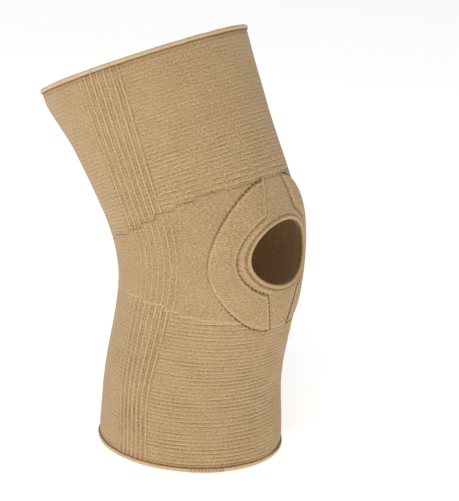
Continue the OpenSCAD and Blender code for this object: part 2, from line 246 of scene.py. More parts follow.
def place_on_rings(reach, heights):
    """Direction round the leg, and distance from the front line, of each reach in rows of equal height."""
    turns, walked = half_rings(heights)
    half_girth = walked[:, -1:]
    far = np.abs(reach) > half_girth
    spread = np.where(far, 2 * half_girth - np.abs(reach), np.abs(reach))
    lane = np.arange(len(heights))[:, None]
    found = np.interp((spread + lane).ravel(), (walked + lane).ravel(), np.tile(turns, len(heights)))
    found = found.reshape(reach.shape)
    return np.sign(reach) * np.where(far, 2 * np.pi - found, found), spread


# ---- Meshes made from grids of points ----


def grid_cells(rows, cols, keep=None, closed=False):
    """Corners of each cell of a grid, facing outwards; closed joins the last column to the first."""
    index = np.arange(rows * cols).reshape(rows, cols)
    if closed:
        index = np.concatenate([index, index[:, :1]], axis=1)
    cells = np.stack([index[:-1, :-1], index[1:, :-1], index[1:, 1:], index[:-1, 1:]], axis=-1)
    return cells.reshape(-1, 4) if keep is None else cells[keep]


def border_walls(cells, shift):
    """Faces that close the gap between a skin and its copy shift places on, along every edge used once."""
    edges = np.concatenate([cells[:, [0, 1]], cells[:, [1, 2]], cells[:, [2, 3]], cells[:, [3, 0]]])
    size = int(cells.max()) + 1
    forward = edges[:, 0] * size + edges[:, 1]
    backward = edges[:, 1] * size + edges[:, 0]
    start, end = edges[~np.isin(forward, backward)].T
    return np.stack([end, start, start + shift, end + shift], axis=-1)


def make_piece(name, points, faces, material, spots=None, marks=None, sharp=None):
    """Mesh object at the origin; spots are its knit map in metres, and marks are values for its finish."""
    used = np.unique(faces)
    renumber = np.zeros(len(points), int)
    renumber[used] = np.arange(len(used))
    faces = renumber[faces]
    points = points[used]
    mesh = bpy.data.meshes.new(name)
    mesh.vertices.add(len(points))
    mesh.vertices.foreach_set("co", points.astype(np.float32).ravel())
    mesh.loops.add(faces.size)
    mesh.loops.foreach_set("vertex_index", faces.astype(np.int32).ravel())
    mesh.polygons.add(len(faces))
    mesh.polygons.foreach_set("loop_start", np.arange(0, faces.size, faces.shape[1], dtype=np.int32))
    if spots is not None:
        layer = mesh.uv_layers.new(name="knit")
        layer.uv.foreach_set("vector", spots[used][faces.ravel()].astype(np.float32).ravel())
    for label, values in (marks or {}).items():
        attribute = mesh.attributes.new(label, "FLOAT", "POINT")
        attribute.data.foreach_set("value", values[used].astype(np.float32))
    mesh.update(calc_edges=True)
    mesh.validate()
    mesh.shade_smooth()
    if sharp is not None:
        mesh.set_sharp_from_angle(angle=sharp)
    mesh.materials.append(material)
    piece = bpy.data.objects.new(name, mesh)
    bpy.context.scene.collection.objects.link(piece)
    return piece


def make_shell(name, outer, inner, material, reach, height, marks, keep=None):
    """Closed wall between two equal grids, its rim closed where cells are left out, its inside unmarked."""
    rows, cols = outer.shape[:2]
    count = rows * cols
    cells = grid_cells(rows, cols, keep)
    faces = np.concatenate([cells, cells[:, ::-1] + count, border_walls(cells, count)])
    points = np.concatenate([outer.reshape(-1, 3), inner.reshape(-1, 3)])
    spots = np.stack([reach.ravel(), height.ravel()], axis=-1)
    spots = np.concatenate([spots, spots])
    both = {label: np.concatenate([values.ravel(), np.zeros(count)]) for label, values in marks.items()}
    return make_piece(name, points, faces, material, spots, both, sharp=math.radians(50))


def patches(reach, height, wide, tall, seed):
    """Slow random change from -1 to 1: random numbers on a grid of patches, smoothly joined."""
    size = 64
    table = np.random.default_rng(seed).uniform(-1, 1, (size, size))
    x, y = reach / wide + size, height / tall + size
    column, row = np.floor(x).astype(int), np.floor(y).astype(int)
    across, up = soft_step(x - column), soft_step(y - row)
    low = between(table[row % size, column % size], table[row % size, (column + 1) % size], across)
    row += 1
    high = between(table[row % size, column % size], table[row % size, (column + 1) % size], across)
    return between(low, high, up)


# ---- Kneecap opening ----


def opening_edge(angle, border):
    """Side distance and height of the opening's edge, an ellipse widened by a border along the fabric."""
    side = (OPENING_HALF_W + border) * np.cos(angle)
    height = (OPENING_HALF_H + border / FRONT_STRETCH) * np.sin(angle) - OPENING_DROP
    return side, height


def from_opening(side, height):
    """Distance beyond the opening's edge, measured straight out from its middle; minus is inside it."""
    up = (height + OPENING_DROP) * FRONT_STRETCH
    length = np.hypot(side, up)
    share = np.maximum(np.hypot(side / OPENING_HALF_W, up / OPENING_OVER_FABRIC), 1e-6)
    return length - length / share


def cut_opening(around, height):
    """Leaves out the cells inside the opening and moves the points left inside it out to its edge."""
    side = smooth_value(HALF_WIDTHS, height) * np.sin(around)
    up = height + OPENING_DROP
    share = np.hypot(side / OPENING_HALF_W, up / OPENING_HALF_H)
    inside = share < 1
    keep = ~(inside[:-1, :-1] & inside[1:, :-1] & inside[1:, 1:] & inside[:-1, 1:])
    grow = np.where(inside, 1 / np.maximum(share, 0.05), 1)
    new_height = up * grow - OPENING_DROP
    new_around = np.where(inside, around_of_side(side * grow, new_height), around)
    return new_around, np.where(inside, new_height, height), keep


# ---- Knitted relief ----


def course_lines(height, pitch):
    """Once a pitch, 1 in a narrow line, and 1 on the narrow ridge just above it: two bell curves."""
    place = height / pitch - np.round(height / pitch)
    return bell(place / 0.12), bell((place - 0.2) / 0.12)


def rib_lines(spread, start, end):
    """Even ribs from start to end: 1 on each narrow crown, and 1 in the grooves on either side of it."""
    pitch = (end - start) / RIBS
    off = np.abs((spread - start) % pitch - pitch / 2)
    band = (spread > start) & (spread < end)
    return band * bell(off / (0.62 * MM)), band * bell((off - 1.25 * MM) / (0.5 * MM))


def opening_ridge(side, border):
    """Padded fold that runs round the opening outside its rim, fading out where the bare strip begins."""
    beside = soft_step((np.abs(side) - 9 * MM) / (7 * MM))
    return bell((border - 3.6 * MM) / (1.15 * MM)) * beside, bell((border - 1.8 * MM) / (0.6 * MM))


def rib_band(height, thigh, calf, wedge):
    """Where the ribs start and end: forward in the wedge, wider up the thigh and narrower down the calf."""
    high_on_thigh = thigh * soft_step((height - 25 * MM) / (90 * MM))
    low_on_calf = calf * soft_step((-height - 45 * MM) / (80 * MM))
    start = RIB_LOW - RIB_JOG * (wedge + high_on_thigh) + RIB_TAPER * low_on_calf
    return start, RIB_HIGH - RIB_JOG * wedge


def knit_relief(reach, spread, height, side, border):
    """How far the knitting stands out of the smooth form, with painted shade in its grooves and painted
    highlight on its ridges, how strong its painted course lines are, and where those are broken into dashes.
    """
    upper = np.interp(spread, *UPPER_LINE)
    lower = np.interp(spread, *LOWER_LINE)
    thigh = soft_step((height - upper) / MM)
    calf = soft_step((lower - height) / MM)
    wedge = 1 - thigh - calf
    start, end = rib_band(height, thigh, calf, wedge)
    front = np.where(spread < start, 1, np.where(spread < RIB_HIGH, 0.4, 0.65))
    bare = soft_step((border - STITCH_BORDER) / MM + 0.5)

    # Courses: a groove and a ridge each, strong on the calf and broken up on the thigh.
    broken = patches(reach, height, 4 * MM, COURSE, 2)
    uneven = patches(reach, height, 13 * MM, COURSE, 3)
    near_front = soft_step((45 * MM - spread) / (35 * MM))
    low_on_thigh = 1 - soft_step((height - 55 * MM) / (50 * MM))
    line, ridge = course_lines(height, COURSE)
    calf_strength = calf * front * bare * np.clip(0.7 + 0.5 * uneven + 0.15 * near_front, 0, 1.2)
    thigh_strength = thigh * front * bare * between(0.5, 1.05, low_on_thigh)
    thigh_strength = thigh_strength * np.clip(0.6 + 0.5 * broken, 0, 1)
    out = MM * (0.26 * ridge - 0.22 * line) * calf_strength
    out += MM * (0.14 * ridge - 0.14 * line) * thigh_strength

    # Ribs: raised crowns between grooves, with painted highlight on the crowns and painted shade in the
    # grooves, weaker in the wedge.
    crown, groove = rib_lines(spread, start, end)
    rib_strength = between(1, 0.5, wedge) * (0.7 + 0.45 * patches(reach, height, 2.5 * MM, 4 * MM, 4))
    out += MM * (0.42 * crown - 0.16 * groove) * rib_strength
    dark = (0.68 * groove - 0.62 * crown) * rib_strength

    # The upper stepped line is a groove with painted shade in it, and the lower one a ridge with painted
    # highlight on it.
    step_line = bell((height - upper) / (0.42 * MM)) * bare
    step_line = step_line * np.clip(0.75 + 0.5 * patches(reach, height, 7 * MM, 50 * MM, 5), 0, 1)
    low_line = bell((height - lower) / (0.6 * MM)) * bare
    out += MM * (0.2 * low_line - 0.3 * step_line)
    dark += 0.85 * step_line - 0.5 * low_line

    # Hems and tucks at the two ends, the fold round the opening, and a slow unevenness all over; painted
    # shade at the hem, the tuck and the crease, and painted highlight on the fold.
    from_end = np.minimum(height + CALF_LENGTH, THIGH_LENGTH - height)
    hem = bell((from_end - HEM_STITCH) / (0.7 * MM))
    tuck = 1 - soft_step((from_end - WELT_H + 0.8 * MM) / (1.1 * MM))
    fold, crease = opening_ridge(side, border)
    out += MM * (0.85 * fold - 0.25 * crease - 0.15 * hem - 0.4 * tuck) + 0.25 * MM * (1 - bare)
    out += 0.25 * MM * patches(reach, height, 26 * MM, 22 * MM, 6)
    dark += 0.1 * hem + 0.3 * tuck + 0.7 * crease - 0.3 * fold
    # Strength of the painted course shading on each course, and where it is broken into dashes.
    painted_course_shading = calf_strength + 1.3 * thigh_strength + 0.08 * wedge
    broken_up = 0.62 * thigh + 0.3 * wedge + 0.15 * calf
    return out, {"hollow": dark, "painted_course_shading": painted_course_shading, "broken_up": broken_up}


def knit_panel(name, low, high, columns, heights, material):
    """Part of the sleeve between two reaches, each given for every height, with its relief and inner skin."""
    share = np.linspace(0, 1, columns + 1)
    reach = between(low[:, None], high[:, None], share)
    around, spread = place_on_rings(reach, heights)
    height = np.repeat(heights[:, None], columns + 1, axis=1)
    in_front = np.cos(around) > 0
    side = smooth_value(HALF_WIDTHS, height) * np.sin(around)
    border = np.where(in_front, from_opening(side, height), 1)
    keep = None
    if (in_front & (border < 0)).any():
        around, height, keep = cut_opening(around, height)
    out, marks = knit_relief(reach, spread, height, side, border)
    outer = off_skin(around, height, out)
    inner = off_skin(around, height, np.full_like(height, -FABRIC))
    return make_shell(name, outer, inner, material, reach, height, marks, keep)


# ---- Pad pockets ----


def pocket_height(sweep):
    """Height of a pocket's row: a sine sweep from its lower corner to its upper one."""
    return (POCKET_TOP - POCKET_BOTTOM) / 2 + (POCKET_TOP + POCKET_BOTTOM) / 2 * np.sin(sweep)


def strip_edge(height):
    """Half width of the bare strip, which widens evenly from the pockets' corners to their middle."""
    from_middle = np.abs(height - (POCKET_TOP - POCKET_BOTTOM) / 2) / ((POCKET_TOP + POCKET_BOTTOM) / 2)
    return STRIP_HALF + STRIP_FLARE * (1 - from_middle)


def pocket_inner(height):
    """Side distance of the inner edge: the bare strip, or the stitched border round the opening."""
    share = (height + OPENING_DROP) / (OPENING_HALF_H + STITCH_BORDER / FRONT_STRETCH)
    arc = (OPENING_HALF_W + STITCH_BORDER) * np.sqrt(np.clip(1 - share**2, 0, 1))
    return np.maximum(strip_edge(height), arc)


def pocket_outer(height):
    """Side distance of the outer edge: half an ellipse from corner to corner."""
    share = (height - (POCKET_TOP - POCKET_BOTTOM) / 2) / ((POCKET_TOP + POCKET_BOTTOM) / 2)
    arc = STRIP_HALF + (POCKET_REACH - STRIP_HALF) * np.sqrt(np.clip(1 - share**2, 0, 1))
    return np.maximum(pocket_inner(height) + TIP_WIDTH, arc)


def column_shares(cols):
    """Shares of a pocket's width at which its columns stand, closer together towards its edges."""
    even = np.linspace(0, 1, cols)
    return between(even, (1 - np.cos(np.pi * even)) / 2, 0.6)


def pocket_spots(rows, cols, margin=0.0, tip=POCKET_TIP):
    """Side distances and heights over a pocket, closer together towards its edges."""
    height = pocket_height(np.linspace(-tip, tip, rows))[:, None]
    side = between(pocket_inner(height) + margin, pocket_outer(height) - margin, column_shares(cols))
    return side, np.repeat(height, cols, axis=1)


def pocket_outline(hand):
    """Points once round a pocket's edge on the sleeve, and the length walked up to each."""
    sweep = np.linspace(-POCKET_TIP, POCKET_TIP, 260)
    height = pocket_height(sweep)
    side = np.concatenate([pocket_inner(height), pocket_outer(height)[::-1]])
    height = np.concatenate([height, height[::-1]])
    edge = skin(hand * around_of_side(side, height), height)
    steps = np.linalg.norm(np.diff(edge, axis=0), axis=1)
    return edge, np.concatenate([[0], np.cumsum(steps)])


def nearest(points, edge):
    """Distance of each point to the nearest edge point, and which one that is."""
    flat = points.reshape(-1, 3)
    found = np.concatenate([
        np.linalg.norm(part[:, None, :] - edge[None, :, :], axis=2).astype(np.float32)
        for part in np.array_split(flat, 12)
    ])
    which = found.argmin(axis=1)
    return found.min(axis=1).reshape(points.shape[:-1]), which.reshape(points.shape[:-1])


def blown_cloth(points, faces, pinned, pressure, frames=20):
    """Last points of a cloth held where it is pinned and blown up by pressure, without gravity."""
    scene = bpy.context.scene
    mesh = bpy.data.meshes.new("blown_cloth")
    mesh.from_pydata(points.tolist(), [], faces.tolist())
    cloth = bpy.data.objects.new("blown_cloth", mesh)
    scene.collection.objects.link(cloth)
    cloth.vertex_groups.new(name="pinned").add(np.flatnonzero(pinned).tolist(), 1.0, "REPLACE")
    modifier = cloth.modifiers.new("blown", "CLOTH")
    modifier.settings.vertex_group_mass = "pinned"
    modifier.settings.use_pressure = True
    modifier.settings.uniform_pressure_force = pressure
    modifier.settings.effector_weights.gravity = 0
    modifier.collision_settings.use_collision = False
    modifier.point_cache.frame_start = 1
    modifier.point_cache.frame_end = frames
    for moment in range(1, frames + 1):
        scene.frame_set(moment)
    blown = cloth.evaluated_get(bpy.context.evaluated_depsgraph_get())
    moved = np.empty(points.size, dtype=np.float32)
    blown.data.vertices.foreach_get("co", moved)
    bpy.data.objects.remove(cloth)
    bpy.data.meshes.remove(mesh)
    scene.frame_set(1)
    return moved.reshape(-1, 3)


def simulate_swell(rows, cols, enlarged, pressure, cap):
    """How far a cover swells over its outline, as shares of its highest point. The cover is simulated as a
    cloth pinned along its seam, enlarged because the cloth solver is made for larger things, and no point
    of it may swell past the cap."""
    side, height = pocket_spots(rows, cols)
    around = around_of_side(side, height)
    points = skin(around, height).reshape(-1, 3) * enlarged
    pinned = np.ones((rows, cols), dtype=bool)
    pinned[1:-1, 1:-1] = False
    moved = blown_cloth(points, grid_cells(rows, cols), pinned.ravel(), pressure)
    swell = np.sum((moved - points) * outward(around, height).reshape(-1, 3), axis=1).reshape(rows, cols)
    swell = np.clip(swell / enlarged, 0, cap)
    return swell / swell.max()


COVER_SWELL = simulate_swell(rows=72, cols=22, enlarged=10, pressure=80, cap=6 * MM)


def swell_at(side, height):
    """The simulated swell at places on a cover, taken in straight lines between its rows and columns."""
    rows, cols = COVER_SWELL.shape
    level = (height - (POCKET_TOP - POCKET_BOTTOM) / 2) / ((POCKET_TOP + POCKET_BOTTOM) / 2)
    row = (np.arcsin(np.clip(level, -1, 1)) / POCKET_TIP + 1) / 2 * (rows - 1)
    share = (side - pocket_inner(height)) / (pocket_outer(height) - pocket_inner(height))
    col = np.interp(share, column_shares(cols), np.arange(cols))
    row, col = np.clip(row, 0, rows - 1.001), np.clip(col, 0, cols - 1.001)
    first_row, first_col = row.astype(int), col.astype(int)
    up, across = row - first_row, col - first_col
    low = between(COVER_SWELL[first_row, first_col], COVER_SWELL[first_row, first_col + 1], across)
    high = between(COVER_SWELL[first_row + 1, first_col], COVER_SWELL[first_row + 1, first_col + 1], across)
    return between(low, high, up)


def cover_rise(inset, side, height):
    """Rise of a cover: up from its tucked edge in a soft step of the distance from the edge, then crowned
    over the pad, part a quarter wave of that distance and part the simulated swell, and lower below the
    opening."""
    full = soft_step((height + 26 * MM) / (24 * MM))
    shoulder = np.sin(np.pi / 2 * np.clip((inset - 2.2 * MM) / (7 * MM), 0, 1))
    crown = PAD_RISE * between(0.3, 1, full) * between(shoulder, 1.15 * swell_at(side, height), 0.45)
    return crown + between(-0.35 * MM, between(0.7 * MM, 1.05 * MM, full), soft_step(inset / (2.2 * MM)))


def cover_relief(inset, walked, reach, side, height):
    """Relief of a cover: pulled down along its seam, most at each stitch, with fine courses and ripples;
    painted shade along the seam and its tucked edge, painted highlight on the ridge inside the seam, and
    painted shade and highlight on the fine courses.
    """
    seam = bell((inset - 1.3 * MM) / (0.6 * MM))
    stitch = 0.5 - 0.5 * np.cos(2 * np.pi * walked / SEAM_PITCH)
    pucker = bell((inset - 3 * MM) / (1.6 * MM)) * np.cos(2 * np.pi * walked / SEAM_PITCH)
    line, ridge = course_lines(height * FRONT_STRETCH, FINE_COURSE)
    inside = soft_step((inset - 3 * MM) / (2 * MM))
    ripple = patches(reach, height, 11 * MM, 8 * MM, 7) * soft_step(inset / (8 * MM))
    pulled = 0.2 * ripple - 0.35 * seam - 0.15 * seam * stitch + 0.06 * pucker
    out = cover_rise(inset, side, height) + MM * pulled
    out += 0.04 * MM * inside * (ridge - line)
    # Painted shade along the seam, strongest at each stitch, and in the fine course lines, with painted
    # highlight on their ridges; painted shade at the tucked edge and painted highlight on the ridge just
    # inside the seam.
    dark = seam * (0.5 + 0.4 * stitch) + 0.12 * inside * (line - ridge)
    dark += 1.05 * (1 - soft_step(inset / (1.2 * MM))) - 0.34 * bell((inset - 2.9 * MM) / (0.8 * MM))
    return out, {"hollow": dark, "painted_course_shading": 0.34 * inside, "broken_up": 0.35 * inside}


def pocket_cover(name, hand, material):
    """Cover of one pocket, a grid over its whole outline; hand is 1 for the right and -1 for the left."""
    side, height = pocket_spots(230, 64)
    around = hand * around_of_side(side, height)
    edge, lengths = pocket_outline(hand)
    inset, which = nearest(skin(around, height), edge)
    reach = KNEE_HALF * around
    out, marks = cover_relief(inset, lengths[which], reach, side, height)
    outer = off_skin(around, height, out)
    inner = off_skin(around, height, np.maximum(out - COVER_T, -1.2 * MM))
    return make_sided_shell(name, hand, outer, inner, material, reach, height, marks)


def make_sided_shell(name, hand, outer, inner, material, reach, height, marks):
    """A shell whose columns run away from the front line; on the left they are taken in the other order."""
    if hand < 0:
        outer, inner, reach, height = [grid[:, ::-1] for grid in (outer, inner, reach, height)]
        marks = {label: values[:, ::-1] for label, values in marks.items()}
    return make_shell(name, outer, inner, material, reach, height, marks)


def pocket_pad(name, hand, material):
    """Foam crescent inside one pocket: flat underneath, and following the inside of the cover above."""
    side, height = pocket_spots(90, 26, PAD_EDGE, math.radians(67))
    around = hand * around_of_side(side, height)
    edge, _ = pocket_outline(hand)
    inset, _ = nearest(skin(around, height), edge)
    top = np.maximum(cover_rise(inset, side, height) - COVER_T - 0.25 * MM, 0.15 * MM)
    outer = off_skin(around, height, top)
    inner = off_skin(around, height, 0 * height)
    return make_sided_shell(name, hand, outer, inner, material, KNEE_HALF * around, height, {})


# ---- Threads ----


def threads(name, paths, outs, radius, material, flat=0.8):
    """Tubes of six sides along many short paths, thinning at both ends; outs point out of the fabric."""
    sides = 6
    count, steps = paths.shape[:2]
    along = unit(np.gradient(paths, axis=1))
    across = unit(np.cross(along, outs))
    up = np.cross(across, along)
    turn = np.arange(sides) * 2 * np.pi / sides
    place = np.linspace(-1, 1, steps)
    thickness = radius * np.sqrt(np.clip(1.08 - place**4, 0, 1))[None, :, None, None]
    ring = np.cos(turn)[:, None] * across[:, :, None, :] + flat * np.sin(turn)[:, None] * up[:, :, None, :]
    points = (paths[:, :, None, :] + thickness * ring).reshape(-1, 3)
    one = grid_cells(steps, sides, closed=True)
    caps = np.array([[0, 1, 2, 3], [0, 3, 4, 5]])
    last = (steps - 1) * sides
    one = np.concatenate([one, caps, caps[:, ::-1] + last])
    faces = (one[None] + np.arange(count)[:, None, None] * steps * sides).reshape(-1, 4)
    return make_piece(name, points, faces, material)


def stitch_run(place, count, length, dip, steps=6):
    """Paths of count stitches along a seam; place gives a point and its outward direction at a share of the
    seam, and each stitch bows, its ends lower than its middle by dip."""
    middle = (np.arange(count) + 0.5) / count
    local = np.linspace(-0.5, 0.5, steps)
    share = middle[:, None] + local[None, :] * length
    points, outs = place(share)
    bow = -dip * (2 * local) ** 2
    return points + bow[None, :, None] * outs, outs


def walk(points):
    """Length walked along points, as shares of the whole, and the whole length."""
    steps = np.linalg.norm(np.diff(points, axis=0), axis=1)
    walked = np.concatenate([[0], np.cumsum(steps)])
    return walked / walked[-1], walked[-1]


def seam_stitches(name, around, height, rise, pitch, gap, radius, material, looped=False):
    """Row of stitches over places on the sleeve, evenly spaced along the fabric."""
    shares, length = walk(skin(around, height))
    rise = rise + 0 * height
    count = max(int(round(length / pitch)), 1)

    def place(share):
        share = share % 1 if looped else np.clip(share, 0, 1)
        turn = np.interp(share, shares, around)
        level = np.interp(share, shares, height)
        return off_skin(turn, level, np.interp(share, shares, rise)), outward(turn, level)

    paths, outs = stitch_run(place, count, (1 - gap) / count, 0.45 * MM)
    return threads(name, paths, outs, radius, material)


# ---- Welts ----


def floor_ring(angle, radius, up):
    """Point of a ring standing on the floor round the lower opening."""
    return np.stack([radius * np.cos(angle), radius * np.sin(angle), up], axis=-1)


def to_thigh(points):
    """Moves a ring from the lower opening to the upper one, turned over so that its welt is outermost."""
    centre, _ = axis_point(THIGH_LENGTH)
    turn = np.pi - FLEXION
    x, y, z = points[..., 0], points[..., 1], points[..., 2]
    turned = np.stack([x, y * np.cos(turn) - z * np.sin(turn), y * np.sin(turn) + z * np.cos(turn)], axis=-1)
    return turned + centre


def to_calf(points):
    """The lower opening's rings are already in place."""
    return points


def make_tube_ring(name, points, material, spots, hollow, turned=False):
    """Tube closed on itself from a grid of points, rows along it and columns round it; turned where the
    columns run the other way round."""
    rows, cols = points.shape[:2]
    index = np.arange(rows * cols).reshape(rows, cols)
    index = np.concatenate([index, index[:1]], axis=0)
    index = np.concatenate([index, index[:, :1]], axis=1)
    faces = np.stack([index[:-1, :-1], index[1:, :-1], index[1:, 1:], index[:-1, 1:]], axis=-1).reshape(-1, 4)
    if turned:
        faces = faces[:, [0, 3, 2, 1]]
    marks = {"hollow": hollow.ravel()}
    return make_piece(name, points.reshape(-1, 3), faces, material, spots.reshape(-1, 2), marks)


def squared(wave, power):
    """A wave from -1 to 1 raised to a power below 1 with its sign kept, which squares an oval's corners."""
    return np.sign(wave) * np.abs(wave) ** power


def rolled_ring(name, radius, half_thick, half_high, middle_up, rib_pitch, rib_depth, material, put, seed):
    """Roll round an opening: an oval section carried round, with fine ribs across it and an uneven hand,
    painted shade between the ribs and on the side that meets the sleeve, and painted highlight round the
    middle of its section.
    """
    ribs = int(2 * np.pi * radius / rib_pitch)
    steps, around_section = ribs * 5, 22
    angle = np.linspace(0, 2 * np.pi, steps, endpoint=False)[:, None]
    turn = np.linspace(0, 2 * np.pi, around_section, endpoint=False)[None, :]
    thick, high = squared(np.cos(turn), 0.75), squared(np.sin(turn), 0.75)
    lean = 0.8 * np.sin(turn)
    strand = np.cos(ribs * angle + lean)
    uneven = patches(angle * radius, turn * 5 * MM, 7 * MM, 6 * MM, seed)
    relief = rib_depth * strand + 0.12 * MM * uneven
    out = radius + (half_thick + relief) * thick
    up = middle_up + (half_high + relief) * high
    spots = np.stack([angle * radius + 0 * turn, 0 * angle + turn * half_high], axis=-1)
    # Painted shade on the side of the roll that meets the sleeve and faintly between its ribs, and painted
    # highlight round the middle of the section.
    seam_side = soft_step((np.sin(turn) - 0.5) / 0.4)
    hollow = 0.1 - 0.1 * strand + 0.9 * seam_side - 0.42 * bell(np.sin(turn) / 0.4)
    points = put(floor_ring(angle + 0 * turn, out, up))
    return make_tube_ring(name, points, material, spots, hollow)


def binding_ring(name, material):
    """Folded binding of the opening: a rounded section round the fabric's edge, with fine ribs across it,
    painted shade on its inner and outer sides and faintly between the ribs, and painted highlight along its
    top.
    """
    steps, around_section = 760, 26
    ribs = 152
    angle = np.linspace(0, 2 * np.pi, steps, endpoint=False)[:, None]
    turn = np.linspace(0, 2 * np.pi, around_section, endpoint=False)[None, :]
    wide, high = squared(np.cos(turn), 0.8), squared(np.sin(turn), 0.8)
    strand = np.cos(ribs * angle + 0.6 * wide)
    relief = 0.04 * MM * strand
    border = (1.35 * MM + relief) * wide - 0.15 * MM
    out = -1.1 * MM + (2.1 * MM + relief) * high
    side, height = opening_edge(angle, border)
    around = around_of_side(side, height)
    points = off_skin(around, height, out)
    # Painted shade on the side that faces into the opening and on the outer side, and painted highlight along
    # the top.
    inside = soft_step((-wide - 0.35) / 0.4) * soft_step((0.6 - high) / 0.5)
    outside = soft_step((wide - 0.55) / 0.4)
    top = bell((wide + 0.1) / 0.4) * (high > 0.5)
    hollow = 0.06 - 0.06 * strand + 1.2 * inside + 0.6 * outside - 0.2 * top
    spots = np.stack([angle * OPENING_HALF_W + 0 * turn, turn * 2.4 * MM + 0 * angle], axis=-1)
    return make_tube_ring(name, points, material, spots, hollow, turned=True)


# ---- Finishes ----


def srgb(red, green, blue):
    """Screen colour from 0 to 255 as the linear colour that shaders use."""
    values = np.array([red, green, blue]) / 255
    linear = np.where(values <= 0.04045, values / 12.92, ((values + 0.055) / 1.055) ** 2.4)
    return (*linear.tolist(), 1.0)


class Finish:
    """A material and short ways to add nodes to it."""

    def __init__(self, name):
        self.material = bpy.data.materials.new(name)
        self.material.use_nodes = True
        self.tree = self.material.node_tree
        self.shader = self.tree.nodes["Principled BSDF"]

    def node(self, kind, inputs=None, **settings):
        """New node with its settings, and its inputs set or linked."""
        node = self.tree.nodes.new(kind)
        for name, value in settings.items():
            setattr(node, name, value)
        for name, value in (inputs or {}).items():
            self.feed(node.inputs[name], value)
        return node

    def feed(self, socket, value):
        """Links an output to a socket, or sets the socket's value."""
        if isinstance(value, bpy.types.NodeSocket):
            self.tree.links.new(value, socket)
        else:
            socket.default_value = value

    def math(self, operation, *values, clamp=False):
        """Result of a sum on one, two or three values."""
        node = self.tree.nodes.new("ShaderNodeMath")
        node.operation = operation
        node.use_clamp = clamp
        for socket, value in zip(node.inputs, values):
            self.feed(socket, value)
        return node.outputs[0]

    def pulse(self, phase, centre, width):
        """1 at a centre, falling in straight lines to 0 a width away on both sides."""
        off = self.math("ABSOLUTE", self.math("SUBTRACT", phase, centre))
        return self.math("MULTIPLY_ADD", off, -1 / width, 1.0, clamp=True)

    def noise(self, vector, scale, detail=2.0, stretch=None):
        """Noise over a vector, stretched by a mapping where that is given."""
        if stretch is not None:
            vector = self.node("ShaderNodeMapping", {"Vector": vector, "Scale": stretch}).outputs[0]
        found = self.node("ShaderNodeTexNoise", {"Vector": vector, "Scale": scale, "Detail": detail})
        return found.outputs["Fac"]

    def ramp(self, value, stops):
        """Colour ramp over a value; stops are places and colours."""
        node = self.node("ShaderNodeValToRGB", {"Fac": value})
        elements = node.color_ramp.elements
        while len(elements) < len(stops):
            elements.new(0.5)
        for element, (place, colour) in zip(elements, stops):
            element.position = place
            element.color = colour
        return node.outputs["Color"]

    def mix(self, share, first, second):
        """Mix of two colours."""
        node = self.node("ShaderNodeMix", data_type="RGBA")
        self.feed(node.inputs[0], share)
        self.feed(node.inputs[6], first)
        self.feed(node.inputs[7], second)
        return node.outputs[2]

    def bump(self, height, distance, strength, below=None):
        """Bump from a height, laid over another bump where one is given."""
        inputs = {"Height": height, "Distance": distance, "Strength": strength}
        if below is not None:
            inputs["Normal"] = below
        return self.node("ShaderNodeBump", inputs).outputs[0]

    def set(self, **values):
        """Sets the shader's own sockets, with spaces in their names written as underscores."""
        for name, value in values.items():
            self.feed(self.shader.inputs[name.replace("_", " ")], value)
        return self.material


